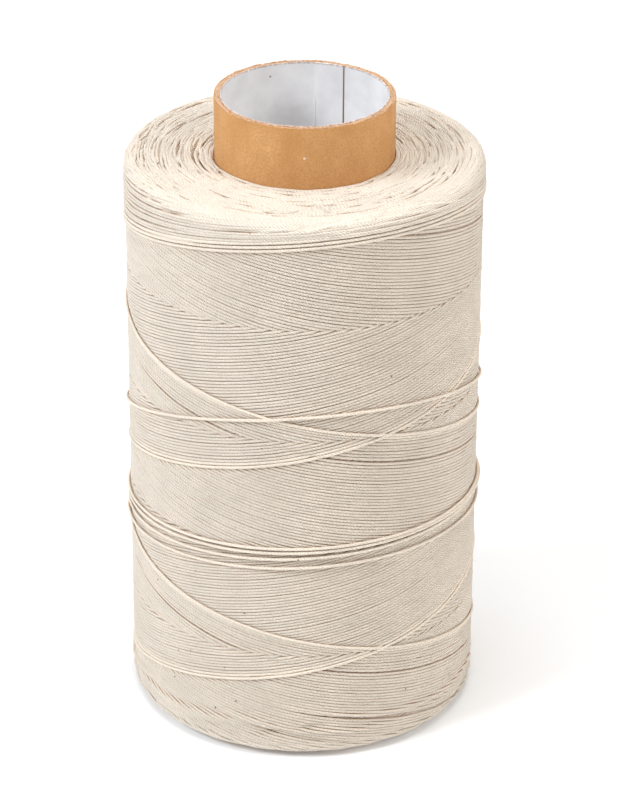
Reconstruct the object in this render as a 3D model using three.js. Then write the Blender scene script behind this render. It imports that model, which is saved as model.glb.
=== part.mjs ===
// A tube of cotton warp thread: a laminated cardboard tube with one long thread
// cross-wound on it, and the thread's last few turns lying loose over the package.
//
// Millimetres, +Z up. The origin is the centre of the tube's lower end, which is what
// the object stands on. Bearings are in degrees round the tube, from +X towards +Y, so
// the front of the object is at -90.

import * as THREE from 'three';

// ---- Tube: a convolute-wound laminate of white liner, three board plies and kraft ----
const TUBE_LENGTH = 152.4;
const TUBE_BORE = 38.1;
const LINER_THICKNESS = 0.2;
const BOARD_PLY_THICKNESS = 0.34;
const BOARD_PLY_COUNT = 3;
const KRAFT_THICKNESS = 0.18;
const GLUE_LINE = 0.05;

// Each ply is a sheet wrapped once, with its own lengthwise seam.
const BUTT_SEAM_GAP = 0.5;
const FIRST_BUTT_SEAM_BEARING = 200;
const BUTT_SEAM_STAGGER = 120;
const LINER_LAP_WIDTH = 6.8;
const LINER_LAP_EDGE_BEARING = 62;
const KRAFT_LAP_WIDTH = 8;
const KRAFT_LAP_EDGE_BEARING = 120;

// ---- Thread package ----
const THREAD_DIAMETER = 0.78;
const PACKAGE_DIAMETER = 82.5;
const PACKAGE_FOOT_FLARE = 0.7;
const TUBE_BELOW_PACKAGE = 0.5;
const TUBE_ABOVE_PACKAGE = 14.6;
const PACKAGE_ON_TUBE_CLEARANCE = 0.05;
const BOTTOM_EDGE_WIDTH = 4.7;
const BOTTOM_EDGE_HEIGHT = 3.4;
const TOP_EDGE_WIDTH = 2.4;
const TOP_EDGE_HEIGHT = 2.4;

// ---- Last turns of the thread, each a near-level loop lying on the package ----
// Heights are each loop's mean height; a loop climbs and falls from it by its rise.
const TURN_SEAT_CLEARANCE = 0.1;
const TURN_HIGH_BEARING = -61;
const TURN_TUCK_ANGLE = 10;
const SHOULDER_TURN_COUNT = 3;
const SHOULDER_TURN_GAP = 0.17;
const SHOULDER_TURN_BELOW_PACKAGE_TOP = 11.6;
const SHOULDER_TURN_RISE = 7.4;
const LOOSE_TURN_ABOVE_PACKAGE_FOOT = 78.6;
const LOOSE_TURN_RISE = 12.6;
const LOOSE_TURN_HIGH_BEARING = -75;
const MIDDLE_TURN_COUNT = 3;
const MIDDLE_TURN_GAP = 0.52;
const MIDDLE_TURN_ABOVE_PACKAGE_FOOT = 51.9;
const MIDDLE_TURN_RISE = 2.9;
const LOWER_TURN_ABOVE_PACKAGE_FOOT = 48.2;
const LOWER_TURN_RISE = 4.4;

// ---- Fineness of the facets ----
const ROUND_STEP = 5;
const CORNER_STEPS = 4;
const STRAND_SIDES = 6;

const radians = THREE.MathUtils.degToRad;
const tube = new THREE.Group();
const thread = new THREE.Group();

function material(color, roughness) {
  return new THREE.MeshStandardMaterial({ color, roughness, metalness: 0 });
}

const whitePaper = material(0xe9ebee, 0.7);
const greyBoard = material(0xa98d6c, 0.9);
const kraftPaper = material(0xc9924f, 0.6);
const cottonThread = material(0xf1e3cb, 0.95);

function addPiece(group, name, geometry, finish) {
  const piece = new THREE.Mesh(geometry, finish);
  piece.name = name;
  group.add(piece);
}

// ---- Tube plies ----

// Points on a circle from one bearing to another, both included, a step or less apart.
function arcPoints(radius, fromBearing, toBearing) {
  const count = Math.max(1, Math.ceil(Math.abs(toBearing - fromBearing) / ROUND_STEP));
  const points = [];
  for (let i = 0; i <= count; i += 1) {
    const bearing = radians(THREE.MathUtils.lerp(fromBearing, toBearing, i / count));
    points.push(new THREE.Vector2(radius * Math.cos(bearing), radius * Math.sin(bearing)));
  }
  return points;
}

function bearingSpan(width, radius) {
  return THREE.MathUtils.radToDeg(width / radius);
}

function extrudeAlongTube(section, opening) {
  const shape = new THREE.Shape(section);
  if (opening) shape.holes.push(new THREE.Path(opening));
  return new THREE.ExtrudeGeometry(shape, { depth: TUBE_LENGTH, bevelEnabled: false });
}

// A sheet wrapped once, whose two edges meet across a small gap.
function buttWrap(innerRadius, thickness, seamBearing) {
  const halfGap = bearingSpan(BUTT_SEAM_GAP, innerRadius) / 2;
  const start = seamBearing + halfGap;
  const end = seamBearing + 360 - halfGap;
  const outer = arcPoints(innerRadius + thickness, start, end);
  const inner = arcPoints(innerRadius, end, start);
  return extrudeAlongTube([...outer, ...inner], null);
}

// A sheet wrapped a little more than once, so that one edge lies on the other. The
// doubled width stands into the bore on an inward lap and off the tube on an outward one.
function lapWrap(innerRadius, thickness, lapEdgeBearing, lapWidth, inward) {
  const outerRadius = innerRadius + thickness;
  const plainRadius = inward ? outerRadius : innerRadius;
  const steppedRadius = inward ? innerRadius : outerRadius;
  const lapRadius = inward ? innerRadius - thickness : outerRadius + thickness;
  const lapEnd = lapEdgeBearing + bearingSpan(lapWidth, steppedRadius);
  const plain = arcPoints(plainRadius, 0, 360 - ROUND_STEP);
  const stepped = [
    ...arcPoints(lapRadius, lapEdgeBearing, lapEnd),
    ...arcPoints(steppedRadius, lapEnd, lapEdgeBearing + 360),
  ];
  return inward ? extrudeAlongTube(plain, stepped) : extrudeAlongTube(stepped, plain);
}

const boreRadius = TUBE_BORE / 2;
addPiece(
  tube,
  'inner_liner',
  lapWrap(boreRadius, LINER_THICKNESS, LINER_LAP_EDGE_BEARING, LINER_LAP_WIDTH, true),
  whitePaper,
);

let plyRadius = boreRadius + LINER_THICKNESS + GLUE_LINE;
for (let ply = 0; ply < BOARD_PLY_COUNT; ply += 1) {
  const seamBearing = FIRST_BUTT_SEAM_BEARING + ply * BUTT_SEAM_STAGGER;
  const wrap = buttWrap(plyRadius, BOARD_PLY_THICKNESS, seamBearing);
  addPiece(tube, `board_ply_${ply + 1}`, wrap, greyBoard);
  plyRadius += BOARD_PLY_THICKNESS + GLUE_LINE;
}

addPiece(
  tube,
  'kraft_facing',
  lapWrap(plyRadius, KRAFT_THICKNESS, KRAFT_LAP_EDGE_BEARING, KRAFT_LAP_WIDTH, false),
  kraftPaper,
);
const facingRadius = plyRadius + 2 * KRAFT_THICKNESS;

// ---- Wound package ----

// A quarter of an ellipse between two bearings in the (radius, height) half plane.
function cornerPoints(centreRadius, centreHeight, width, height, fromAngle, toAngle) {
  const points = [];
  for (let i = 0; i <= CORNER_STEPS; i += 1) {
    const angle = radians(THREE.MathUtils.lerp(fromAngle, toAngle, i / CORNER_STEPS));
    const radius = centreRadius + width * Math.cos(angle);
    points.push(new THREE.Vector2(radius, centreHeight + height * Math.sin(angle)));
  }
  return points;
}

const packageFoot = TUBE_BELOW_PACKAGE;
const packageTop = TUBE_LENGTH - TUBE_ABOVE_PACKAGE;
const packageBore = facingRadius + PACKAGE_ON_TUBE_CLEARANCE;
const bottomEdgeTop = packageFoot + BOTTOM_EDGE_HEIGHT;
const topEdgeFoot = packageTop - TOP_EDGE_HEIGHT;

// The side's radius, which grows a little towards the foot.
function sideRadiusAt(z) {
  const shareBelowTop = (packageTop - z) / (packageTop - packageFoot);
  return (PACKAGE_DIAMETER + PACKAGE_FOOT_FLARE * shareBelowTop) / 2;
}

// The package's radius, with its rounded upper edge.
function packageRadiusAt(z) {
  if (z <= topEdgeFoot) return sideRadiusAt(z);
  const climb = Math.min((z - topEdgeFoot) / TOP_EDGE_HEIGHT, 1);
  return sideRadiusAt(topEdgeFoot) - TOP_EDGE_WIDTH * (1 - Math.sqrt(1 - climb * climb));
}

function woundPackage() {
  const bottomReach = sideRadiusAt(bottomEdgeTop) - BOTTOM_EDGE_WIDTH;
  const topReach = sideRadiusAt(topEdgeFoot) - TOP_EDGE_WIDTH;
  const start = new THREE.Vector2(packageBore, packageFoot);
  const outline = [
    start,
    ...cornerPoints(bottomReach, bottomEdgeTop, BOTTOM_EDGE_WIDTH, BOTTOM_EDGE_HEIGHT, -90, 0),
    ...cornerPoints(topReach, topEdgeFoot, TOP_EDGE_WIDTH, TOP_EDGE_HEIGHT, 0, 90),
    new THREE.Vector2(packageBore, packageTop),
    start,
  ];
  return new THREE.LatheGeometry(outline, 360 / ROUND_STEP).rotateX(Math.PI / 2);
}

addPiece(thread, 'thread_winding', woundPackage(), cottonThread);

// ---- Last turns ----

// One turn round the package, seated on it, highest on one side and lowest on the
// other. It starts and ends on the low side, where the thread tucks under the next turn.
class TurnPath extends THREE.Curve {
  constructor(height, rise, highBearing) {
    super();
    this.height = height;
    this.rise = rise;
    this.highBearing = highBearing;
  }

  getPoint(t, target = new THREE.Vector3()) {
    const sweep = 180 - TURN_TUCK_ANGLE / 2;
    const fromHighSide = THREE.MathUtils.lerp(-sweep, sweep, t);
    const bearing = radians(this.highBearing + fromHighSide);
    const z = this.height + this.rise * Math.cos(radians(fromHighSide));
    const radius = packageRadiusAt(z) + TURN_SEAT_CLEARANCE + THREAD_DIAMETER / 2;
    return target.set(radius * Math.cos(bearing), radius * Math.sin(bearing), z);
  }
}

function addTurn(name, height, rise, highBearing = TURN_HIGH_BEARING) {
  const radius = THREAD_DIAMETER / 2;
  const corners = [];
  for (let side = 0; side < STRAND_SIDES; side += 1) {
    const angle = (2 * Math.PI * side) / STRAND_SIDES;
    corners.push(new THREE.Vector2(radius * Math.cos(angle), radius * Math.sin(angle)));
  }
  const geometry = new THREE.ExtrudeGeometry(new THREE.Shape(corners), {
    steps: Math.round((360 - TURN_TUCK_ANGLE) / ROUND_STEP),
    extrudePath: new TurnPath(height, rise, highBearing),
    bevelEnabled: false,
  });
  addPiece(thread, name, geometry, cottonThread);
}

// Turns of like shape, one above the other.
function addTurns(name, lowestHeight, rise, gap, count) {
  for (let turn = 0; turn < count; turn += 1) {
    addTurn(`${name}_${turn + 1}`, lowestHeight + turn * (THREAD_DIAMETER + gap), rise);
  }
}

const shoulderHeight = packageTop - SHOULDER_TURN_BELOW_PACKAGE_TOP;
const looseHeight = packageFoot + LOOSE_TURN_ABOVE_PACKAGE_FOOT;
const middleHeight = packageFoot + MIDDLE_TURN_ABOVE_PACKAGE_FOOT;
const lowerHeight = packageFoot + LOWER_TURN_ABOVE_PACKAGE_FOOT;
addTurns('shoulder_turn', shoulderHeight, SHOULDER_TURN_RISE, SHOULDER_TURN_GAP, SHOULDER_TURN_COUNT);
addTurn('loose_turn', looseHeight, LOOSE_TURN_RISE, LOOSE_TURN_HIGH_BEARING);
addTurns('middle_turn', middleHeight, MIDDLE_TURN_RISE, MIDDLE_TURN_GAP, MIDDLE_TURN_COUNT);
addTurn('lower_turn', lowerHeight, LOWER_TURN_RISE);

const spoolOfThread = new THREE.Group();
spoolOfThread.add(tube, thread);

export default spoolOfThread;
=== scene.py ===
"""A tube of cotton warp thread: the looks of the thread, the tube's papers and the studio."""

import functools
import math

import bpy
import numpy as np
from bpy.props import FloatProperty, FloatVectorProperty, IntProperty, PointerProperty
from mathutils import Euler, Matrix, Vector


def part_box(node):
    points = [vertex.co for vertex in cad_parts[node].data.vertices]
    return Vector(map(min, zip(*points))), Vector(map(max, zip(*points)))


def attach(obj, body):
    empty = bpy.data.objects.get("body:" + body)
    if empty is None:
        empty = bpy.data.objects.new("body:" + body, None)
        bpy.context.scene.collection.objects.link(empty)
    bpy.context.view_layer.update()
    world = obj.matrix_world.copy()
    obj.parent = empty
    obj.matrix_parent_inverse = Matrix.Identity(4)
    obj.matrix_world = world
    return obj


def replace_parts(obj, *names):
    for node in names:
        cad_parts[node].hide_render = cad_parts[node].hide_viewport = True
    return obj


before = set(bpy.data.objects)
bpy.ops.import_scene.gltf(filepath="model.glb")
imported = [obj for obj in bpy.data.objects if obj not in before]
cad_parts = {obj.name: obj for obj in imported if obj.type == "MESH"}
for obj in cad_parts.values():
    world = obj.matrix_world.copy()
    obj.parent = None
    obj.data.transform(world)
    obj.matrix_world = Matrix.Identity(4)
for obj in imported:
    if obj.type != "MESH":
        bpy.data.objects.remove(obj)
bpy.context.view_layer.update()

bl_info = {
    "name": "Spool of warp thread",
    "version": (1, 0, 0),
    "blender": (4, 5, 0),
    "location": "View3D > Sidebar > Spool",
    "description": "Winds a cotton warp thread on a cardboard tube",
    "category": "Add Mesh",
}

MM = 0.001
FULL_TURN = 2 * math.pi
FRONT = -math.pi / 2


def linear(colour):
    """The linear colour of an sRGB hex value."""
    channels = [int(colour[i : i + 2], 16) / 255 for i in (1, 3, 5)]
    return tuple(c / 12.92 if c <= 0.04045 else ((c + 0.055) / 1.055) ** 2.4 for c in channels)


# ---- Sizes and colours that a user would change ----


def length(name, description, millimetres):
    shown = {"precision": 5, "subtype": "DISTANCE", "unit": "LENGTH"}
    return FloatProperty(name=name, description=description, default=millimetres * MM, **shown)


def angle(name, description, degrees):
    shown = {"subtype": "ANGLE", "unit": "ROTATION"}
    return FloatProperty(
        name=name, description=description, default=math.radians(degrees), **shown
    )


def colour(name, description, value):
    shown = {"min": 0.0, "max": 1.0, "subtype": "COLOR"}
    return FloatVectorProperty(name=name, description=description, default=linear(value), **shown)


class SpoolThread(bpy.types.PropertyGroup):
    """The thread itself."""

    width: length("Width", "Thread width where it lies beside the next thread", 0.755)
    thickness: length("Thickness", "Thread thickness, pressed a little flat", 0.68)
    spacing: length("Spacing", "Distance between neighbouring threads", 0.775)
    twist: length("Twist", "Length in which the plies go round once", 3.4)
    plies: IntProperty(name="Plies", description="Strands twisted together", default=4, min=2)
    light: colour("Cotton", "Colour of the cotton in the light", "#f3e6d6")
    shade: colour("Cotton, greyer", "Colour of the greyer stretches", "#e8dccc")
    # Painted light: a lighter copy of the cotton colour, painted on threads that stand proud, for
    # the full light on them.
    painted_lit: colour("Cotton, proud", "Colour where a thread stands proud in full light", "#fff1dd")
    # Painted shade: a darker, warmer colour painted down the flanks between two threads for the
    # shade and warm bounced light there.
    flank_shade: colour("Cotton, flanks", "Warmer colour down between two threads", "#d39f66")
    seed: colour("Seed coat", "Colour of the specks of seed coat in the cotton", "#8a6a48")


class SpoolWinding(bpy.types.PropertyGroup):
    """How the winder laid the thread."""

    climb: length("Climb", "Rise of the thread in one turn", 56.3)
    first_crossing: length("First crossing", "Drop of the lowest crossing below the foot", 0.3)
    newest_bearing: angle("Newest bearing", "Bearing where the newest threads cross", -61.5)
    foot_edge_width: length("Foot edge width", "Width of the rounded lower edge", 4.7)
    foot_edge_height: length("Foot edge height", "Height of the rounded lower edge", 3.4)
    shoulder_width: length("Shoulder width", "Width of the rounded upper edge", 2.4)
    shoulder_height: length("Shoulder height", "Height of the rounded upper edge", 2.4)
    flare: length("Flare", "Growth of the diameter from the shoulder to the foot", 0.7)
    unevenness: length("Unevenness", "Usual sideways error of a thread", 0.022)


class SpoolPapers(bpy.types.PropertyGroup):
    """The tube's papers."""

    bore: length("Bore", "Inside diameter of the tube", 38.1)
    liner_thickness: length("Liner thickness", "Thickness of the white paper", 0.2)
    liner_lap: length("Liner lap", "Width of the white paper's lap", 6.8)
    liner_edge: angle("Liner edge", "Bearing of the white paper's raw edge", 62)
    ply_thickness: length("Ply thickness", "Thickness of one ply of grey board", 0.34)
    glue_line: length("Glue line", "Gap that the glue fills between two papers", 0.05)
    butt_gap: length("Butt gap", "Gap where a board ply's edges meet", 0.5)
    facing_thickness: length("Facing thickness", "Thickness of the brown paper", 0.18)
    facing_lap: length("Facing lap", "Width of the brown paper's lap", 8.0)
    facing_edge: angle("Facing edge", "Bearing of the brown paper's raw edge", 120)
    white: colour("Liner", "White paper inside the tube", "#f0eeee")
    white_speck: colour("Liner speck", "Brown fibres and specks in the white paper", "#9c8468")
    raw_edge: colour("Raw edge", "Torn brown edge of the white paper's lap", "#a98c7c")
    board: colour("Board", "Raw board at the cut ends", "#dcba9a")
    board_dark: colour("Board, darker", "Darker layers in the board", "#a87f60")
    kraft: colour("Kraft", "Golden brown facing paper", "#c38e59")
    kraft_light: colour("Kraft, lighter", "Lighter cloud in the facing paper", "#d6a46f")


# ---- The package's outline, and a place on it ----


class Outline:
    """The package's surface: round it by bearing, and along it from the foot over the shoulder.

    Along the side the distance is the height above the package's foot.
    """

    def __init__(self, winding):
        low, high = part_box("thread_winding")
        self.foot = low.z
        self.height = high.z - low.z
        self.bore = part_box("kraft_facing")[1].x
        foot_radius = high.x
        top_radius = foot_radius - winding.flare / 2
        foot_edge = winding.foot_edge_height
        depth = winding.shoulder_height
        shoulder = self.height - depth
        points = [(self.bore, 0.0)]
        points += self.corner(foot_radius, foot_edge, winding.foot_edge_width, foot_edge, -90, 0)
        points += self.corner(top_radius, shoulder, winding.shoulder_width, depth, 0, 90)
        points.append((self.bore, self.height))
        self.radius, self.rise = self.finely(np.array(points)).T
        steps = np.hypot(np.diff(self.radius), np.diff(self.rise))
        self.along = np.concatenate(([0.0], np.cumsum(steps)))
        self.along += foot_edge - np.interp(foot_edge, self.rise, self.along)
        self.out_radius = np.gradient(self.rise, self.along)
        self.out_rise = -np.gradient(self.radius, self.along)
        self.shoulder_edge = self.along_at(top_radius - winding.shoulder_width, upper=True)
        self.foot_edge = self.along_at(foot_radius - winding.foot_edge_width * 0.8, upper=False)

    def along_at(self, radius, upper):
        """The distance along at which an end face has this radius."""
        half = self.along > self.height / 2 if upper else self.along < self.height / 2
        return float(self.along[half][np.argmin(np.abs(self.radius[half] - radius))])

    @staticmethod
    def corner(radius, height, width, depth, start, end):
        """A quarter of an ellipse that ends flush with the side."""
        turn = np.radians(np.linspace(start, end, 13))
        across = radius - width + width * np.cos(turn)
        return list(zip(across, height + depth * np.sin(turn)))

    @staticmethod
    def finely(points):
        """The same outline with a point at least every quarter of a millimetre."""
        spacing = 0.25 * MM
        fine = [points[:1]]
        for start, end in zip(points[:-1], points[1:]):
            count = max(1, math.ceil(np.hypot(*(end - start)) / spacing))
            share = np.arange(1, count + 1)[:, None] / count
            fine.append(start + (end - start) * share)
        return np.concatenate(fine)

    def place(self, bearing, along, height):
        """Points at a height over the surface, and the surface's outward directions there."""
        out = np.interp(along, self.along, self.out_radius)
        up = np.interp(along, self.along, self.out_rise)
        size = np.hypot(out, up)
        out, up = out / size, up / size
        radius = np.interp(along, self.along, self.radius) + height * out
        rise = self.foot + np.interp(along, self.along, self.rise) + height * up
        cos, sin = np.cos(bearing), np.sin(bearing)
        points = np.stack((radius * cos, radius * sin, rise), axis=1)
        normals = np.stack((out * cos, out * sin, up), axis=1)
        return points, normals


# ---- Laying thread on thread ----


class Layers:
    """The height of the wound surface over its outline, on a grid of bearing and distance along.

    PRESSED is the share of a thread's half thickness that is left where it rests on another.
    """

    COLUMNS = 720
    ROW = 0.13 * MM
    PRESSED = 0.9

    def __init__(self, outline, thread):
        self.outline = outline
        self.half_width = thread.width / 2
        self.half_thickness = thread.thickness / 2
        self.first = outline.along[0] - MM
        self.rows = int((outline.along[-1] - outline.along[0] + 2 * MM) / self.ROW)
        self.step = FULL_TURN / self.COLUMNS
        self.surface = np.zeros((self.COLUMNS, self.rows))
        self.squeeze = 1.0

    def footprint(self, bearing, along):
        """Row by row, the grid cells that the thread's width touches and its arch over them."""
        column = np.round(bearing / self.step).astype(int) % self.COLUMNS
        row = (along - self.first) / self.ROW
        nearest = np.round(row).astype(int)
        reach = int(self.half_width / self.ROW) + 1
        for offset in range(-reach, reach + 1):
            rows = np.clip(nearest + offset, 0, self.rows - 1)
            away = np.minimum(np.abs(nearest + offset - row) * self.ROW / self.half_width, 1.0)
            yield column, rows, self.half_thickness * np.sqrt(1 - away**2), away < 1

    def lay(self, bearing, along, dip=0.0, taut=False, spread=1.4, lift=0.0):
        """Lays a thread and returns the height of its middle.

        It rests on the average of what its width touches, as soft cotton pressed down by its pull.
        A taut one stands on the highest it touches and bridges the hollows. One that starts and
        ends deep in the package dips away from its own middle.
        """
        total = np.zeros(len(bearing))
        weight = np.zeros(len(bearing))
        highest = np.full(len(bearing), -1.0)
        for column, rows, arch, touches in self.footprint(bearing, along):
            total += arch * self.surface[column, rows]
            weight += arch
            highest = np.where(touches, np.maximum(highest, self.surface[column, rows]), highest)
        rest = (highest if taut else total / weight) + self.PRESSED * self.half_thickness
        share = np.linspace(-1.0, 1.0, len(bearing))
        height = self.eased(rest, spread)
        if not taut:
            level = -0.5 * self.half_thickness
            height = np.where(height > level, level + (height - level) * self.squeeze, height)
        if dip:
            height = np.minimum(height, level) - dip * share**2
        height = height + lift
        for column, rows, arch, touches in self.footprint(bearing, along):
            top = np.maximum(self.surface[column, rows], height + arch)
            self.surface[column[touches], rows[touches]] = top[touches]
        return height

    @staticmethod
    def eased(values, spread):
        """Values smoothed over about this many samples to each side."""
        reach = int(3 * spread) + 1
        weights = np.exp(-0.5 * (np.arange(-reach, reach + 1) / spread) ** 2)
        padded = np.pad(values, reach, mode="edge")
        return np.convolve(padded, weights / weights.sum(), mode="valid")


class Winder:
    """Lays the package's outer threads pass by pass, the oldest first.

    The falling threads from EDGE_AGE on lag by a part of their spacing, which leaves an open line
    beside the one before. PROUD lifts the newest threads and that one. Each thread turns back at
    its own height: TURNS_BACK gives the least and the spread in millimetres, at the top and at the
    foot, and a few turn back early.
    """

    TURNS_PER_TRAVERSE = 2.5
    CYCLES = 2
    SINK = 0.25 * MM
    EDGE_AGE = 9
    EDGE_LAG = 0.55
    PROUD = {0: 0.16 * MM, 1: 0.06 * MM, EDGE_AGE - 1: 0.05 * MM}
    GOLDEN_SHARE = 0.618
    TURNS_BACK = ((0.6, 3.4), (0.4, 1.6))
    EARLY_SHARE, EARLY_BY = 0.05, 5.5
    SWAY, SWAY_RATES = 0.35, (1.7, 5.3, 13.1)

    def __init__(self, outline, thread, winding):
        self.outline = outline
        self.thread = thread
        self.winding = winding
        slope = winding.climb / (FULL_TURN * outline.radius.max())
        self.passes = round(winding.climb * math.cos(math.atan(slope)) / thread.spacing)
        self.bottom = -winding.first_crossing
        self.top = self.bottom + winding.climb * self.TURNS_PER_TRAVERSE
        random = np.random.default_rng(8)
        count = self.passes * self.CYCLES + 2
        spread = np.arange(count) * self.GOLDEN_SHARE % 1.0
        early = random.uniform(0.0, 1.0, count) < self.EARLY_SHARE
        (top_least, top_spread), (foot_least, foot_spread) = self.TURNS_BACK
        self.top_apex = self.top - (top_least + top_spread * spread) * MM
        foot_turns = (foot_least + foot_spread * spread) * MM
        self.bottom_apex = self.bottom + foot_turns + early * self.EARLY_BY * MM
        self.errors = random.normal(0.0, winding.unevenness, (count, 2))
        self.wander = random.uniform(0.0, FULL_TURN, (count, 2, 3))

    def traverse(self, age, rising):
        """Bearing and distance along of one traverse, which turns back smoothly at both ends."""
        step = FULL_TURN / Layers.COLUMNS
        sweep = self.TURNS_PER_TRAVERSE * FULL_TURN
        from_top = np.arange(0.0, sweep, step)
        lag = (age if rising else age + 0.5) / self.passes * FULL_TURN
        if not rising and age >= self.EDGE_AGE:
            lag += self.EDGE_LAG / self.passes * FULL_TURN
        newest = self.winding.newest_bearing - lag
        bearing = newest - from_top if rising else newest + from_top
        fall = from_top / FULL_TURN * self.winding.climb
        along = self.top - fall
        turn = 2 * (self.top - self.top_apex[age])
        along = np.where(fall < turn, self.top - turn / 2 - fall**2 / (2 * turn), along)
        climb = self.top - self.bottom - fall
        bottom_age = age + 1 if rising else age
        turn = 2 * (self.bottom_apex[bottom_age] - self.bottom)
        along = np.where(climb < turn, self.bottom + turn / 2 + climb**2 / (2 * turn), along)
        family = 0 if rising else 1
        phases = self.wander[age, family]
        waves = zip(self.SWAY_RATES, phases)
        sway = sum(np.sin(from_top * rate + phase) for rate, phase in waves)
        along = along + self.errors[age, family] + sway * self.winding.unevenness * self.SWAY
        return bearing, along

    def wind(self, layers):
        """Lays every pass and returns the newest cycle's rising and falling strands."""
        rising, falling = [], []
        for age in range(self.passes * self.CYCLES - 1, -1, -1):
            for rises, strands in ((False, falling), (True, rising)):
                bearing, along = self.traverse(age, rises)
                height = layers.lay(bearing, along, lift=self.PROUD.get(age, 0.0))
                if age < self.passes:
                    strands.append((bearing, along, height))
        return rising, falling

    def face_arcs(self, random, tube, edge, count):
        """Short strands on an end face: where the threads of older, narrower layers turned back."""
        inner, outer = np.interp((tube, edge), self.outline.along, self.outline.radius)
        inward = np.sign(tube - edge)
        arcs = []
        for share in np.linspace(0.0, 1.0, count):
            radius = math.sqrt(inner**2 + (outer**2 - inner**2) * share)
            half = random.uniform(3.5, 8.5) * MM
            samples = max(8, int(2 * half / radius / FULL_TURN * Layers.COLUMNS))
            run = np.linspace(-1.0, 1.0, samples)
            bearing = random.uniform(0.0, FULL_TURN) + run * half / radius
            bow = random.uniform(0.0, 0.4) * MM * run**2
            skew = random.normal(0.0, 0.2) * MM * run
            inset = outer - radius + random.normal(0.0, 0.08) * MM + skew + bow
            inset = np.clip(inset, 0.0, outer - inner - self.thread.width * 0.6)
            dip = random.uniform(0.15, 0.5) * (1.5 - 1.2 * share) * MM
            arcs.append((bearing, edge + inward * inset, dip))
        return arcs

    def wind_end_faces(self, layers):
        """Covers the upper and the lower end face from the tube out to the rounded edge."""
        random = np.random.default_rng(21)
        faces = {}
        for name, tube, edge, count, fillers in (
            ("upper", self.outline.along[-1], self.outline.shoulder_edge - 1.0 * MM, 1450, 430),
            ("lower", self.outline.along[0], self.outline.foot_edge + 1.2 * MM, 950, 160),
        ):
            faces[name] = []
            for bearing, along, dip in self.face_arcs(random, tube, edge, count):
                lift = -abs(random.normal(0.0, 0.06)) * MM
                faces[name].append((bearing, along, layers.lay(bearing, along, dip, lift=lift)))
            faces[name] += self.fill_hollows(layers, random, tube, edge, fillers)
        return faces

    @staticmethod
    def fill_hollows(layers, random, tube, edge, count):
        """Lays short strands in the deepest hollows of an end face."""
        margin = 4
        low, high = sorted(int((along - layers.first) / layers.ROW) for along in (tube, edge))
        face = layers.surface[:, low + margin : high - margin]
        strands = []
        for _ in range(count):
            column, row = np.unravel_index(np.argmin(face), face.shape)
            along = layers.first + (low + margin + row) * layers.ROW
            half = random.uniform(3.0, 6.0) * MM
            reach = half / np.interp(along, layers.outline.along, layers.outline.radius)
            run = np.linspace(-1.0, 1.0, max(8, int(2 * reach / layers.step)))
            bearing = column * layers.step + run * reach
            course = along + random.normal(0.0, 0.2) * MM * run
            strands.append((bearing, course, layers.lay(bearing, course) - 0.35 * MM * run**4))
        return strands

    def wound(self):
        """Winds once to find how thick the layers come out, then again on a thinner former."""
        trial = Layers(self.outline, self.thread)
        self.wind_end_faces(trial)
        self.wind(trial)
        growth = Layers.eased(trial.surface.mean(axis=0), 8.0)
        layers = Layers(self.outline, self.thread)
        layers.surface -= growth + self.SINK
        layers.squeeze = 0.3
        strands = self.wind_end_faces(layers)
        strands["rising"], strands["falling"] = self.wind(layers)
        return layers, growth, strands


# ---- Making thread into a mesh ----


def new_piece(name, vertices, faces, material):
    """A finished piece at the origin, which rides with the object's one body."""
    mesh = bpy.data.meshes.new(name)
    mesh.from_pydata(vertices, [], faces)
    piece = bpy.data.objects.new(name, mesh)
    bpy.context.scene.collection.objects.link(piece)
    finish_piece(piece, material)
    return piece


def finish_piece(piece, material):
    piece.data.materials.clear()
    piece.data.materials.append(material)
    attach(piece, "root")


def face_outwards():
    """Turns the faces of the active piece outwards."""
    bpy.ops.object.mode_set(mode="EDIT")
    bpy.ops.mesh.select_all(action="SELECT")
    bpy.ops.mesh.normals_make_consistent(inside=False)
    bpy.ops.object.mode_set(mode="OBJECT")


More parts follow.
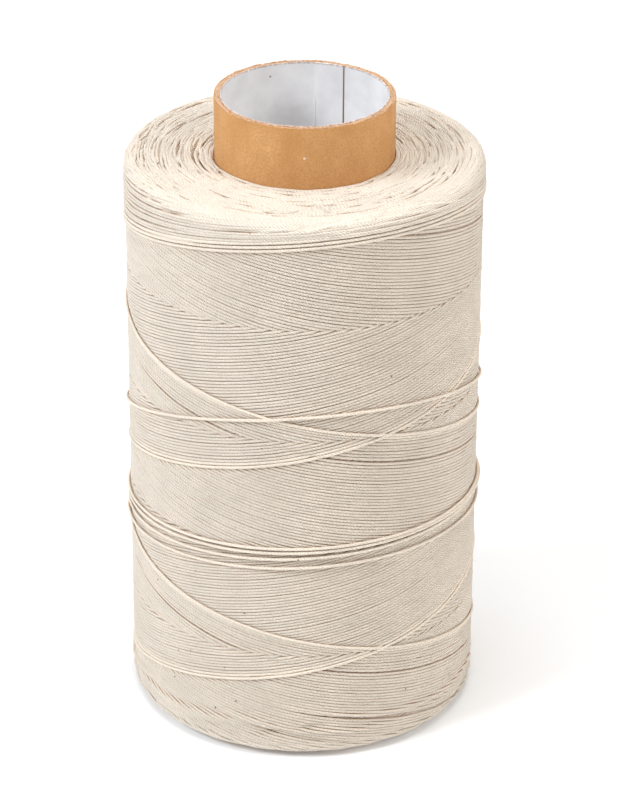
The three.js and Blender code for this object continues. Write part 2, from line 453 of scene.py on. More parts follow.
def thread_piece(name, outline, strands, size, sides, step, material):
    """One closed tube per strand, with a map that runs along and round each of them."""
    twist = bpy.context.scene.spool_thread.twist
    half_width, half_thickness = size[0] / 2, size[1] / 2
    turn = np.arange(sides) * FULL_TURN / sides
    rings, faces, runs, strips = [], [], [], []
    first = 0
    for number, (bearing, along, height) in enumerate(strands):
        picked = np.linspace(0, len(bearing) - 1, max(3, len(bearing) // step)).astype(int)
        middle, normal = outline.place(bearing[picked], along[picked], height[picked])
        forward = np.gradient(middle, axis=0)
        forward /= np.linalg.norm(forward, axis=1)[:, None]
        sideways = np.cross(forward, normal)
        sideways /= np.linalg.norm(sideways, axis=1)[:, None]
        normal = np.cross(sideways, forward)
        ring = (
            middle[:, None]
            + half_width * np.cos(turn)[None, :, None] * sideways[:, None]
            + half_thickness * np.sin(turn)[None, :, None] * normal[:, None]
        )
        rings.append(ring.reshape(-1, 3))
        count = len(picked)
        run = np.concatenate(([0.0], np.cumsum(np.linalg.norm(np.diff(middle, axis=0), axis=1))))
        start = first + np.arange(count)[:-1, None] * sides
        corner = start + np.arange(sides)[None]
        beside = start + (np.arange(sides)[None] + 1) % sides
        quads = np.stack((corner, corner + sides, beside + sides, beside), axis=-1)
        faces.append(quads.reshape(-1, 4))
        around = np.broadcast_to(np.arange(sides)[None] / sides, corner.shape)
        low = np.broadcast_to(run[:-1, None], corner.shape)
        high = np.broadcast_to(run[1:, None], corner.shape)
        u = np.stack((low, high, high, low), axis=-1)
        v = np.stack((around, around, around + 1 / sides, around + 1 / sides), axis=-1)
        runs.append(np.stack((u, v), axis=-1).reshape(-1, 2))
        strips.append(np.full(runs[-1].shape[0], number))
        first += count * sides
    vertices = np.concatenate(rings)
    quads = np.concatenate(faces)
    caps = []
    start = 0
    for ring in rings:
        caps.append(list(range(start, start + sides)))
        start += len(ring)
        caps.append(list(range(start - sides, start))[::-1])
    run = np.concatenate(runs)
    strip = np.concatenate(strips)
    mesh_faces = quads.tolist() + caps
    piece = new_piece(name, vertices.tolist(), mesh_faces, material)
    cap_map = np.zeros((len(caps) * sides, 2))
    pattern = piece.data.uv_layers.new(name="ply")
    turns = np.stack((run[:, 0] / twist, run[:, 1]), axis=1)
    pattern.data.foreach_set("uv", np.concatenate((turns, cap_map + (0.0, 0.25))).ravel())
    across = (strip + 0.04 + 0.92 * run[:, 1]) / len(strands)
    share = np.stack((run[:, 0] / run[:, 0].max(), across), axis=1)
    baked = piece.data.uv_layers.new(name="OFBake")
    baked.data.foreach_set("uv", np.concatenate((share, cap_map)).ravel())
    piece.data.polygons.foreach_set("use_smooth", [True] * len(mesh_faces))
    piece.data.update()
    return piece


# ---- Materials ----


# A colour Mix node takes the share as 0 and the colours as 6 and 7. A Map Range node takes the
# value as 0, the range it comes from as 1 and 2, and the range it goes to as 3 and 4.
COLOUR = {"data_type": "RGBA"}
COLOUR_OUT = 2
TIMES = {"operation": "MULTIPLY"}


def add_node(tree, kind, settings, inputs, output=0):
    """Adds a node with its own settings, sets or links its inputs, and gives one of its outputs."""
    node = tree.nodes.new("ShaderNode" + kind)
    for key, value in settings.items():
        setattr(node, key, value)
    for key, value in inputs.items():
        if isinstance(value, bpy.types.NodeSocket):
            tree.links.new(value, node.inputs[key])
        else:
            node.inputs[key].default_value = value
    return node.outputs[output]


def rgba(value):
    return (*value, 1.0)


def surface(name, roughness, specular):
    """A matt uncoated surface's shader, with the object's own coordinates."""
    material = bpy.data.materials.new(name)
    material.use_nodes = True
    tree = material.node_tree
    shader = tree.nodes["Principled BSDF"]
    shader.inputs["Roughness"].default_value = roughness
    shader.inputs["Specular IOR Level"].default_value = specular
    return material, tree, shader, add_node(tree, "TexCoord", {}, {}, "Object")


def cotton_surface(name):
    """A soft fibrous surface: very rough, with the sheen of fibre ends at its edges."""
    material, tree, shader, place = surface(name, 0.9, 0.2)
    shader.inputs["IOR"].default_value = 1.45
    shader.inputs["Sheen Weight"].default_value = 0.15
    shader.inputs["Sheen Roughness"].default_value = 0.5
    return material, tree, shader, place


def mottle(tree, place, size, detail=3.0, stretch=(1.0, 1.0, 1.0)):
    """Soft clouds of about this size, stretched along the axes."""
    scale = [1 / (size * part) for part in stretch]
    scaled = add_node(tree, "Mapping", {}, {"Vector": place, "Scale": scale})
    inputs = {"Vector": scaled, "Scale": 1.0, "Detail": detail}
    return add_node(tree, "TexNoise", {"noise_dimensions": "3D"}, inputs)


def specks(tree, place, spacing, size):
    """One inside scattered specks, nothing outside them."""
    inputs = {"Vector": place, "Scale": 1 / spacing, "Randomness": 1.0}
    away = add_node(tree, "TexVoronoi", {"feature": "F1"}, inputs, "Distance")
    return add_node(tree, "MapRange", {}, {0: away, 1: size / spacing, 2: 0.5 * size / spacing})


def spot(tree, place, bearing, radius, height, size):
    """One inside a small round spot at a bearing, radius and height, nothing outside it."""
    centre = (radius * math.cos(bearing), radius * math.sin(bearing), height)
    inputs = {0: place, 1: centre}
    away = add_node(tree, "VectorMath", {"operation": "DISTANCE"}, inputs, "Value")
    return add_node(tree, "MapRange", {}, {0: away, 1: size, 2: 0.6 * size})


def upright_line(tree, place, bearing, half_width):
    """One on a line up the tube at a bearing, nothing away from it."""
    dot = {"operation": "DOT_PRODUCT"}
    inputs = {0: place, 1: (-math.sin(bearing), math.cos(bearing), 0.0)}
    across = add_node(tree, "VectorMath", dot, inputs, "Value")
    away = add_node(tree, "Math", {"operation": "ABSOLUTE"}, {0: across})
    line = add_node(tree, "MapRange", {}, {0: away, 1: half_width, 2: half_width * 0.6})
    inputs = {0: place, 1: (math.cos(bearing), math.sin(bearing), 0.0)}
    towards = add_node(tree, "VectorMath", dot, inputs, "Value")
    near_side = add_node(tree, "Math", {"operation": "GREATER_THAN"}, {0: towards, 1: 0.0})
    return add_node(tree, "Math", TIMES, {0: line, 1: near_side})


def pressed(tree, shader, height, depth):
    """Gives the surface a relief of this depth."""
    bump = add_node(tree, "Bump", {}, {"Height": height, "Strength": 1.0, "Distance": depth})
    tree.links.new(bump, shader.inputs["Normal"])


def cotton_material(name, light, shade, flank_shade):
    """Unbleached plied cotton: matt, with a soft edge sheen, the ridges of its plies, a fine
    fibrous grain, slow changes from cream to grey and specks of seed coat.

    Light that has gone from thread to thread comes back warm, so the flanks, down between two
    threads, are painted darker and warmer as painted shade and warm bounced light, less so on the
    upper face and not round the foot, where they turn to the light.
    """
    thread = bpy.context.scene.spool_thread
    material, tree, shader, place = cotton_surface(name)
    sine = {"operation": "SINE"}
    ply = add_node(tree, "UVMap", {"uv_map": "ply"}, {}, "UV")
    run = add_node(tree, "SeparateXYZ", {}, {0: ply}, "X")
    around = add_node(tree, "SeparateXYZ", {}, {0: ply}, "Y")
    twist = add_node(tree, "Math", {"operation": "ADD"}, {0: run, 1: around})
    phase = add_node(tree, "Math", TIMES, {0: twist, 1: math.pi * thread.plies})
    wave = add_node(tree, "Math", sine, {0: phase})
    ridge = add_node(tree, "Math", {"operation": "ABSOLUTE"}, {0: wave})
    cloud = add_node(tree, "MapRange", {}, {0: mottle(tree, place, 9 * MM), 1: 0.3, 2: 0.7})
    grain = mottle(tree, place, 0.3 * MM, 4.0)
    grey = add_node(tree, "MapRange", {}, {0: grain, 1: 0.4, 2: 0.8})
    seeds = specks(tree, place, 7 * MM, 0.3 * MM)
    duller = tuple(c * 0.8 for c in shade)
    cotton = rgba(light)
    for share, tint in ((cloud, shade), (grey, duller), (seeds, thread.seed)):
        cotton = add_node(tree, "Mix", COLOUR, {0: share, 6: cotton, 7: rgba(tint)}, COLOUR_OUT)
    # Painted shade: where the thread's surface turns down between two threads it is mixed towards
    # the darker, warmer flank colour; the side facing out, the foot and the upper face keep more of
    # the cotton colour.
    turned = add_node(tree, "Math", TIMES, {0: around, 1: FULL_TURN})
    outward = add_node(tree, "Math", sine, {0: turned})
    lit = add_node(tree, "MapRange", {}, {0: outward, 1: -0.15, 2: 0.5})
    height = add_node(tree, "SeparateXYZ", {}, {0: place}, "Z")
    low = add_node(tree, "MapRange", {}, {0: height, 1: 9 * MM, 2: 3 * MM})
    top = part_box("thread_winding")[1].z
    inputs = {0: height, 1: top - 2 * MM, 2: top - MM, 3: 0.0, 4: 0.55}
    high = add_node(tree, "MapRange", {}, inputs)
    ends = add_node(tree, "Math", {"operation": "MAXIMUM"}, {0: low, 1: high})
    unshaded = add_node(tree, "Math", {"operation": "MAXIMUM"}, {0: lit, 1: ends})
    shown = add_node(tree, "Mix", COLOUR, {0: unshaded, 6: rgba(flank_shade), 7: cotton}, COLOUR_OUT)
    fuzz = add_node(tree, "Math", TIMES, {0: grain, 1: 0.35})
    relief = add_node(tree, "Math", {"operation": "ADD"}, {0: ridge, 1: fuzz})
    pressed(tree, shader, relief, 0.17 * MM)
    tree.links.new(shown, shader.inputs["Base Color"])
    return material


@functools.cache
def wound_cotton():
    """The thread where it lies between its neighbours, with painted warm shade on its flanks."""
    thread = bpy.context.scene.spool_thread
    return cotton_material("unbleached_cotton", thread.light, thread.shade, thread.flank_shade)


@functools.cache
def painted_lit_cotton():
    """The thread where it stands proud of the others: a copy of the cotton painted lighter for full
    light, with less painted shade on its flanks.
    """
    thread = bpy.context.scene.spool_thread
    flank_shade = tuple((light + flank_shade) / 2 for light, flank_shade in zip(thread.light, thread.flank_shade))
    return cotton_material("unbleached_cotton_painted_lit", thread.painted_lit, thread.light, flank_shade)


def core_material():
    """Cotton threads deep between the outer ones: warm and dim, as little light comes back out."""
    thread = bpy.context.scene.spool_thread
    material, tree, shader, place = cotton_surface("cotton_in_shadow")
    warm = tuple((shade + flank_shade) / 2 for shade, flank_shade in zip(thread.shade, thread.flank_shade))
    dim = rgba(tuple(c * 0.85 for c in warm))
    cloud = mottle(tree, place, 1.5 * MM)
    base = add_node(tree, "Mix", COLOUR, {0: cloud, 6: dim, 7: rgba(warm)}, COLOUR_OUT)
    tree.links.new(base, shader.inputs["Base Color"])
    return material


def liner_material():
    """White machine-glazed paper: grey-white, faintly clouded, with a few brown fibres, a torn
    brown edge where it laps, and board dust along its cut end. Low down, a grey line of painted
    shade marks the step where the lap lies over the far end, and a nick shows the board.
    """
    papers = bpy.context.scene.spool_papers
    material, tree, shader, place = surface("white_lining_paper", 0.55, 0.35)
    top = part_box("inner_liner")[1].z
    cloud = add_node(tree, "MapRange", {}, {0: mottle(tree, place, 5 * MM, 4.0), 1: 0.35, 2: 0.75})
    height = add_node(tree, "SeparateXYZ", {}, {0: place}, "Z")
    near_end = {0: height, 1: top - 0.6 * MM, 2: top - 0.2 * MM, 3: 0.0, 4: 0.75}
    near_end = add_node(tree, "MapRange", {}, near_end)
    patchy = add_node(tree, "MapRange", {}, {0: mottle(tree, place, 0.8 * MM), 1: 0.3, 2: 0.6})
    dust = add_node(tree, "Math", TIMES, {0: near_end, 1: patchy})
    fibres = specks(tree, place, 5.2 * MM, 0.26 * MM)
    torn = upright_line(tree, place, papers.liner_edge, 0.2 * MM)
    # Painted shade: a grey line along the lap's step, over the far end's edge, shown only low down
    # in the bore.
    hidden = papers.liner_edge + 2 * papers.liner_lap / papers.bore
    deep = {0: height, 1: top - 8 * MM, 2: top - 10 * MM, 3: 0.0, 4: 0.7}
    deep = add_node(tree, "MapRange", {}, deep)
    inputs = {0: upright_line(tree, place, hidden, 0.12 * MM), 1: deep}
    painted_step_shade = add_node(tree, "Math", TIMES, inputs)
    nick = spot(tree, place, math.radians(115), papers.bore / 2, top - 3 * MM, 0.3 * MM)
    shown = rgba(papers.white)
    for share, tint in (
        (cloud, tuple(c * 0.86 for c in papers.white)),
        (dust, papers.board_dark),
        (fibres, papers.white_speck),
        (torn, papers.raw_edge),
        (painted_step_shade, tuple(c * 0.6 for c in papers.white)),
        (nick, papers.white_speck),
    ):
        shown = add_node(tree, "Mix", COLOUR, {0: share, 6: shown, 7: rgba(tint)}, COLOUR_OUT)
    tree.links.new(shown, shader.inputs["Base Color"])
    pressed(tree, shader, mottle(tree, place, 2.2 * MM, 3.0, (1.0, 1.0, 4.0)), 0.05 * MM)
    return material


def board_material():
    """Recycled board: tan and fibrous, in thin layers that show at its cut ends."""
    papers = bpy.context.scene.spool_papers
    material, tree, shader, place = surface("recycled_board", 0.9, 0.15)
    flat = add_node(tree, "VectorMath", TIMES, {0: place, 1: (1.0, 1.0, 0.0)})
    distance = add_node(tree, "VectorMath", {"operation": "LENGTH"}, {0: flat}, "Value")
    radial = add_node(tree, "CombineXYZ", {}, {0: distance})
    layers = mottle(tree, radial, 0.12 * MM, 1.0)
    fibres = mottle(tree, place, 0.6 * MM, 4.0)
    both = add_node(tree, "Math", TIMES, {0: layers, 1: fibres})
    share = add_node(tree, "MapRange", {}, {0: both, 1: 0.15, 2: 0.36})
    inputs = {0: share, 6: rgba(papers.board_dark), 7: rgba(papers.board)}
    base = add_node(tree, "Mix", COLOUR, inputs, COLOUR_OUT)
    tree.links.new(base, shader.inputs["Base Color"])
    pressed(tree, shader, both, 0.12 * MM)
    return material


def kraft_material():
    """Golden kraft paper: matt, with long soft clouds, short fibres, a scuff and a faint cockle."""
    papers = bpy.context.scene.spool_papers
    material, tree, shader, place = surface("golden_kraft_paper", 0.7, 0.15)
    cloud = mottle(tree, place, 7 * MM, 3.0, (1.0, 1.0, 1.6))
    cloud = add_node(tree, "MapRange", {}, {0: cloud, 1: 0.3, 2: 0.7})
    fine = add_node(tree, "MapRange", {}, {0: mottle(tree, place, 0.4 * MM, 4.0), 1: 0.4, 2: 0.8})
    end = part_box("kraft_facing")[1]
    scuff = spot(tree, place, FRONT, end.x, end.z - 7.2 * MM, 0.36 * MM)
    pairs = zip(papers.kraft_light, papers.white)
    shown = rgba(papers.kraft)
    for share, tint in (
        (cloud, papers.kraft_light),
        (fine, tuple(c * 0.86 for c in papers.kraft)),
        (scuff, tuple((kraft + white) / 2 for kraft, white in pairs)),
    ):
        shown = add_node(tree, "Mix", COLOUR, {0: share, 6: shown, 7: rgba(tint)}, COLOUR_OUT)
    tree.links.new(shown, shader.inputs["Base Color"])
    pressed(tree, shader, mottle(tree, place, 3.0 * MM), 0.06 * MM)
    return material


def floor_material():
    """A white acrylic sheet lit from below: pale and even, so that shadows on it stay faint."""
    material, tree, shader, place = surface("lit_white_acrylic", 0.9, 0.5)
    grey, light = rgba(linear("#ececec")), rgba(linear("#eeeeee"))
    inputs = {0: mottle(tree, place, 40 * MM), 6: grey, 7: light}
    shown = add_node(tree, "Mix", COLOUR, inputs, COLOUR_OUT)
    tree.links.new(shown, shader.inputs["Base Color"])
    shader.inputs["Emission Color"].default_value = (1.0, 1.0, 1.0, 1.0)
    shader.inputs["Emission Strength"].default_value = 0.1
    return material


# ---- Operators, one for each piece or group of like pieces ----


@functools.cache
def wound_package():
    """The outline, the wound surface, its growth and its strands, wound once for all operators."""
    scene = bpy.context.scene
    outline = Outline(scene.spool_winding)
    winder = Winder(outline, scene.spool_thread, scene.spool_winding)
    return outline, *winder.wound()


class SPOOL_OT_wind_package(bpy.types.Operator):
    """Winds the package: its core, the crossing threads and the threads of both end faces"""

    bl_idname = "spool.wind_package"
    bl_label = "Wind the package"

    def execute(self, context):
        thread = context.scene.spool_thread
        size = (thread.width, thread.thickness)
        outline, layers, growth, strands = wound_package()
        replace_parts(package_core(outline, layers, growth), "thread_winding")
        half = len(strands["rising"]) // 2
        newest = strands["rising"][-2:] + strands["falling"][-2:]
        cotton = wound_cotton()
        for name, group, sides, step, finish in (
            ("rising_threads_older", strands["rising"][:half], 8, 6, cotton),
            ("rising_threads_newer", strands["rising"][half:-2], 8, 6, cotton),
            ("falling_threads_older", strands["falling"][:half], 8, 6, cotton),
            ("falling_threads_newer", strands["falling"][half:-2], 8, 6, cotton),
            # The newest threads take the copy of the cotton painted lighter for full light.
            ("newest_threads", newest, 10, 5, painted_lit_cotton()),
            ("upper_face_threads", strands["upper"], 6, 5, cotton),
            ("lower_face_threads", strands["lower"], 6, 7, cotton),
        ):
            piece = thread_piece(name, outline, group, size, sides, step, finish)
            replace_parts(piece, "thread_winding")
        return {"FINISHED"}


class SPOOL_OT_lay_last_turns(bpy.types.Operator):
    """Lays the last turns over the package, and the band of turns round its shoulder"""

    bl_idname = "spool.lay_last_turns"
    bl_label = "Lay the last turns"

    def execute(self, context):
        thread = context.scene.spool_thread
        size = (thread.width, thread.thickness)
        outline, layers = wound_package()[:2]
        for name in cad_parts:
            if "turn" in name:
                turns = [last_turn(name, outline, layers)]
                # The last turns take the copy of the cotton painted lighter for full light.
                piece = thread_piece(name + "_thread", outline, turns, size, 10, 3, painted_lit_cotton())
                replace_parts(piece, name)
        band = shoulder_band(outline, layers)
        piece = thread_piece("shoulder_band_threads", outline, band, size, 8, 3, wound_cotton())
        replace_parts(piece, "thread_winding")
        return {"FINISHED"}


class SPOOL_OT_scatter_fibres(bpy.types.Operator):
    """Scatters the short hairs that stand off the thread, and one long curled fibre"""

    bl_idname = "spool.scatter_fibres"
    bl_label = "Scatter the stray fibres"

    def execute(self, context):
        outline = wound_package()[0]
        hairs, curl = stray_fibres(outline)
        for name, group, width in (("stray_fibres", hairs, 0.045), ("curled_fibre", curl, 0.09)):
            size = (width * MM, width * MM)
            # The fibres take the copy of the cotton painted lighter for full light.
            piece = thread_piece(name, outline, group, size, 4, 1, painted_lit_cotton())
            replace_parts(piece, "thread_winding")
        return {"FINISHED"}


def package_core(outline, layers, growth):
    """The older layers under the threads that show, as one closed ring turned round the tube."""
    rows = layers.first + np.arange(layers.rows) * layers.ROW
    count, columns = 150, 180
    along = np.linspace(outline.along[0], outline.along[-1], count)
    side = np.interp(along, (outline.foot_edge, 5 * MM), (0.0, 1.0))
    side *= np.interp(along, (outline.shoulder_edge - 4 * MM, outline.shoulder_edge), (1.0, 0.0))
    depth = (0.3 + 0.2 * side) * np.interp(along, rows, growth) + Winder.SINK + 0.3 * MM
    points = outline.place(np.zeros(count), along, -np.maximum(depth, 0.8 * MM))[0]
    radius = np.maximum(points[:, 0], outline.bore)
    bpy.ops.object.select_all(action="DESELECT")
    bpy.ops.mesh.primitive_torus_add(major_segments=columns, minor_segments=count)
    core = bpy.context.object
    core.name = "package_core"
    turn = np.repeat(np.arange(columns) * FULL_TURN / columns, count)
    radius, rise = np.tile(radius, columns), np.tile(points[:, 2], columns)
    ring = np.stack((radius * np.cos(turn), radius * np.sin(turn), rise), axis=1)
    core.data.vertices.foreach_set("co", ring.ravel())
    face_outwards()
    bpy.ops.object.shade_smooth()
    finish_piece(core, core_material())
    return core


def turn_course(name, outline):
    """Mean distance along, and rise to the high side, of one of the last turns."""
    low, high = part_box(name)
    thread = bpy.context.scene.spool_thread
    return (low.z + high.z) / 2 - outline.foot, (high.z - low.z - thread.width) / 2


def last_turn(name, outline, layers):
    """One near-level turn, laid taut on what is wound already."""
    middle, rise = turn_course(name, outline)
    loose = "loose" in name
    bearing, along = level_turn(middle, rise, 1.2 * MM, -14 if loose else 0)
    if "middle" in name:
        upper = turn_course("middle_turn_3", outline)[0]
        gathered = 0.95 - 0.4 * np.cos(bearing - FRONT - math.radians(95))
        if name.endswith("2"):
            gathered = np.maximum(gathered * 0.8, 0.6)
        along += (middle - upper) * (gathered - 1.0)
    if "shoulder" in name:
        height = layers.lay(bearing, along, spread=4.0, lift=0.12 * MM)
    else:
        height = layers.lay(bearing, along, taut=True, spread=7.0, lift=0.1 * MM)
    return bearing, along, tucked(height)


def level_turn(middle, rise, pitch, swing=0):
    """Bearing and distance along of a turn that climbs by its pitch, so that it meets the next.

    It is highest over the newest crossing, or swung round from there by some degrees.
    """
    high_side = bpy.context.scene.spool_winding.newest_bearing + math.radians(swing)
    step = FULL_TURN / Layers.COLUMNS
    overlap = 12 * step
    turned = np.arange(-math.pi - overlap, math.pi + overlap, step)
    return high_side + turned, middle + rise * np.cos(turned) + pitch * turned / FULL_TURN


def tucked(height):
    """The heights of a thread whose two ends go down under the threads beside them."""
    depth, samples = 1.1 * MM, 24
    from_end = np.minimum(np.arange(len(height)), np.arange(len(height))[::-1])
    return height - depth * (1 - Layers.eased(np.clip(from_end / samples, 0.0, 1.0), 5.0)) ** 2


def shoulder_band(outline, layers):
    """The turns above the last three at the shoulder: wider apart on their low side."""
    middle, rise = turn_course("shoulder_turn_3", outline)
    random = np.random.default_rng(5)
    high, low = middle + rise, middle - rise
    turns, high_step, low_step = 14, 0.47, 1.22
    band = []
    for _ in range(turns):
        high += random.normal(high_step, 0.04) * MM
        low += random.normal(low_step, 0.08) * MM
        bearing, along = level_turn((high + low) / 2, (high - low) / 2, low_step * MM)
        turned = bearing + random.uniform(0.0, FULL_TURN)
        along = along + 0.12 * MM * np.sin(2 * turned) + 0.08 * MM * np.sin(5 * turned)
        band.append((bearing, along, tucked(layers.lay(bearing, along, spread=4.0))))
    return band


def stray_fibres(outline):
    """Short hairs that stand off the thread, and one long curled one on the upper face."""
    random = np.random.default_rng(3)
    hairs, count = [], 420
    for number in range(count):
        reach = random.uniform(0.6, 2.6) * MM
        around = random.uniform(0.0, FULL_TURN)
        heading = random.uniform(-0.9, 0.9) + (math.pi if number % 2 else 0.0)
        run = np.linspace(0.0, 1.0, 9)
        bend = random.normal(0.0, 1.2) * run
        across = np.cumsum(np.cos(heading + bend)) / 9 * reach
        up = np.cumsum(np.sin(heading + bend)) / 9 * reach
        along = random.uniform(2.0 * MM, outline.shoulder_edge + 12.0 * MM)
        radius = np.interp(along, outline.along, outline.radius)
        height = 0.1 * MM + random.uniform(0.2, 0.9) * MM * np.sin(run * random.uniform(1.2, 2.8))
        hairs.append((around + across / radius, along + up, height))
    curled = 2.4 * math.pi
    turn = np.linspace(0.0, curled, 60)
    curl = 1.5 * MM * np.sin(turn * 1.1) + 0.8 * MM * np.sin(turn * 2.3)
    along = outline.shoulder_edge + 7.0 * MM + curl
    bearing = FRONT + math.radians(3) + turn / curled * 0.17
    return hairs, [(bearing, along, 0.35 * MM + 0.2 * MM * np.sin(turn))]


def rolled_sheet(name, radius, start, end, thickness, ragged, material):
    """A sheet rolled round the tube's axis from one bearing to another, then given its thickness.

    radius gives the sheet's inner face for an array of bearings, in radians.
    """
    tube_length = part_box(name)[1].z
    columns, rows, tear = 360, 24, 9
    bpy.ops.object.select_all(action="DESELECT")
    bpy.ops.mesh.primitive_grid_add(x_subdivisions=columns, y_subdivisions=rows, size=2.0)
    sheet = bpy.context.object
    sheet.name = name + "_sheet"
    flat = np.empty(len(sheet.data.vertices) * 3)
    sheet.data.vertices.foreach_get("co", flat)
    across, up = (flat.reshape(-1, 3)[:, :2].T + 1) / 2
    bearing = start + (end - start) * across
    distance = radius(bearing)
    random = np.random.default_rng(len(name))
    tears = columns // tear + 2
    heights = random.uniform(0.0, 1.0, tears)
    coarse = np.interp(np.arange(columns + 1) / tear, np.arange(tears), heights)
    fray = (0.4 * random.uniform(0.0, 1.0, columns + 1) + 0.6 * coarse) * ragged
    rise = up * tube_length - np.where(up > 0.99, fray[np.round(across * columns).astype(int)], 0.0)
    points = np.stack((distance * np.cos(bearing), distance * np.sin(bearing), rise), axis=1)
    sheet.data.vertices.foreach_set("co", points.ravel())
    sheet.data.update()
    solid = sheet.modifiers.new("thickness", "SOLIDIFY")
    solid.thickness = thickness
    solid.offset = 1.0
    solid.use_even_offset = True
    bpy.ops.object.modifier_apply(modifier=solid.name)
    face_outwards()
    bpy.ops.object.shade_smooth_by_angle(angle=math.radians(40))
    finish_piece(sheet, material)
    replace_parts(sheet, name)
    return sheet


def lapped_sheet(name, inner, side, thickness, edge, lap_width, ragged, material):
    """A rolled sheet that lies on its own far end for the width of its lap.

    Side is 1 where the raw edge lies outside the far end, and -1 where it lies inside it.
    """
    lap = lap_width / inner

    def radius(bearing):
        over = np.clip((edge + lap - bearing) / math.radians(4) + 0.5, 0.0, 1.0)
        return inner + side * thickness * over * over * (3 - 2 * over)

    end = edge + FULL_TURN + lap * 0.98
    rolled_sheet(name, radius, edge, end, thickness * 0.96, ragged, material)


class SPOOL_OT_roll_liner(bpy.types.Operator):
    """Rolls the white paper that lines the tube, its raw edge lapped over its far end"""

    bl_idname = "spool.roll_liner"
    bl_label = "Roll the liner"

    def execute(self, context):
        papers = context.scene.spool_papers
        lapped_sheet(
            "inner_liner",
            papers.bore / 2,
            -1,
            papers.liner_thickness,
            papers.liner_edge,
            papers.liner_lap,
            0.26 * MM,
            liner_material(),
        )
        return {"FINISHED"}


class SPOOL_OT_roll_board(bpy.types.Operator):
    """Rolls the plies of grey board, each with a butt seam"""

    bl_idname = "spool.roll_board"
    bl_label = "Roll the board plies"

    def execute(self, context):
        papers = context.scene.spool_papers
        radius = papers.bore / 2 + papers.liner_thickness + papers.glue_line
        material = board_material()
        for ply in range(3):
            gap = papers.butt_gap / 2 / radius
            seam = math.radians(200 + 120 * ply)
            rolled_sheet(
                f"board_ply_{ply + 1}",
                lambda bearing, inner=radius: np.full(len(bearing), inner),
                seam + gap,
                seam + FULL_TURN - gap,
                papers.ply_thickness,
                0.36 * MM,
                material,
            )
            radius += papers.ply_thickness + papers.glue_line
        return {"FINISHED"}


class SPOOL_OT_roll_facing(bpy.types.Operator):
    """Rolls the brown facing paper, its raw edge lapped over its far end"""

    bl_idname = "spool.roll_facing"
    bl_label = "Roll the facing paper"

    def execute(self, context):
        papers = context.scene.spool_papers
        wall = papers.liner_thickness + 4 * papers.glue_line + 3 * papers.ply_thickness
        lapped_sheet(
            "kraft_facing",
            papers.bore / 2 + wall,
            1,
            papers.facing_thickness,
            papers.facing_edge,
            papers.facing_lap,
            0.42 * MM,
            kraft_material(),
        )
        return {"FINISHED"}


class SPOOL_OT_studio(bpy.types.Operator):
    """Sets up the camera, the lights and the floor"""

    bl_idname = "spool.studio"
    bl_label = "Set up the studio"

    def execute(self, context):
        add_camera()
        bpy.ops.object.select_all(action="DESELECT")
        bpy.ops.mesh.primitive_plane_add(size=20.0, location=(0.0, 0.0, 0.0))
        floor = context.object
        floor.name = "studio_floor"
        floor.data.materials.append(floor_material())
        add_softbox("key", (-1.14, -0.55, 1.12), 0.6, 21.8, "#f2f8ff")
        add_softbox("top", (0.0, 0.0, 1.35), 0.6, 9.4, "#ffffff")
        add_softbox("fill", (1.1, -0.5, 0.9), 0.9, 10.6, "#fffdfa")
        world = bpy.data.worlds.new("studio_white")
        world.use_nodes = True
        background = world.node_tree.nodes["Background"]
        background.inputs["Color"].default_value = (1.0, 1.0, 1.0, 1.0)
        background.inputs["Strength"].default_value = 0.31
        context.scene.world = world
        context.scene.view_settings.view_transform = "Standard"
        return {"FINISHED"}


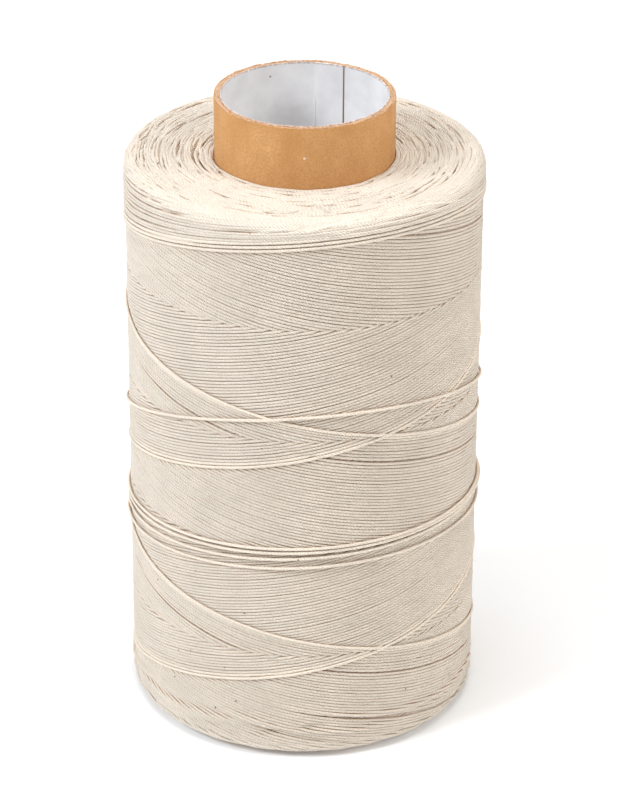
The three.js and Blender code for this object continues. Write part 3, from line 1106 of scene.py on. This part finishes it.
def add_camera():
    """A long lens, a little above the shoulder's height, looking down on the front."""
    elevation = math.radians(27.64)
    distance = 756.7 * MM
    aim = Vector((1.3, 0.0, 74.1)) * MM
    data = bpy.data.cameras.new("studio_camera")
    data.lens = 143.5
    data.sensor_width = 36.0
    camera = bpy.data.objects.new("studio_camera", data)
    bpy.context.scene.collection.objects.link(camera)
    tilt = Euler((math.pi / 2 - elevation, 0.0, 0.0)).to_matrix().to_4x4()
    roll = Matrix.Rotation(0.0054, 4, "Z")
    back = Vector((0.0, -math.cos(elevation), math.sin(elevation))) * distance
    camera.matrix_world = Matrix.Translation(aim + back) @ tilt @ roll
    bpy.context.scene.camera = camera


def add_softbox(name, place, size, power, tint):
    """A square light that faces the middle of the object."""
    data = bpy.data.lights.new(name, "AREA")
    data.size = size
    data.energy = power
    data.color = linear(tint)
    light = bpy.data.objects.new(name, data)
    bpy.context.scene.collection.objects.link(light)
    light.location = place
    towards = Vector((0.0, 0.0, 0.075)) - Vector(place)
    light.rotation_euler = towards.to_track_quat("-Z", "Y").to_euler()


STEPS = (
    SPOOL_OT_roll_liner,
    SPOOL_OT_roll_board,
    SPOOL_OT_roll_facing,
    SPOOL_OT_wind_package,
    SPOOL_OT_lay_last_turns,
    SPOOL_OT_scatter_fibres,
    SPOOL_OT_studio,
)


class SPOOL_PT_steps(bpy.types.Panel):
    """The spool's sizes, and the steps that make it, in order"""

    bl_idname = "SPOOL_PT_steps"
    bl_label = "Spool of thread"
    bl_space_type = "VIEW_3D"
    bl_region_type = "UI"
    bl_category = "Spool"

    def draw(self, context):
        for name in ("spool_thread", "spool_winding", "spool_papers"):
            group = getattr(context.scene, name)
            box = self.layout.box()
            for setting in group.__annotations__:
                box.prop(group, setting)
        for step in STEPS:
            self.layout.operator(step.bl_idname)


CLASSES = (SpoolThread, SpoolWinding, SpoolPapers, *STEPS, SPOOL_PT_steps)


def register():
    for item in CLASSES:
        bpy.utils.register_class(item)
    bpy.types.Scene.spool_thread = PointerProperty(type=SpoolThread)
    bpy.types.Scene.spool_winding = PointerProperty(type=SpoolWinding)
    bpy.types.Scene.spool_papers = PointerProperty(type=SpoolPapers)


def unregister():
    del bpy.types.Scene.spool_thread, bpy.types.Scene.spool_winding, bpy.types.Scene.spool_papers
    for item in reversed(CLASSES):
        bpy.utils.unregister_class(item)


def main():
    register()
    bpy.ops.spool.roll_liner()
    bpy.ops.spool.roll_board()
    bpy.ops.spool.roll_facing()
    bpy.ops.spool.wind_package()
    bpy.ops.spool.lay_last_turns()
    bpy.ops.spool.scatter_fibres()
    bpy.ops.spool.studio()


if __name__ == "__main__":
    main()
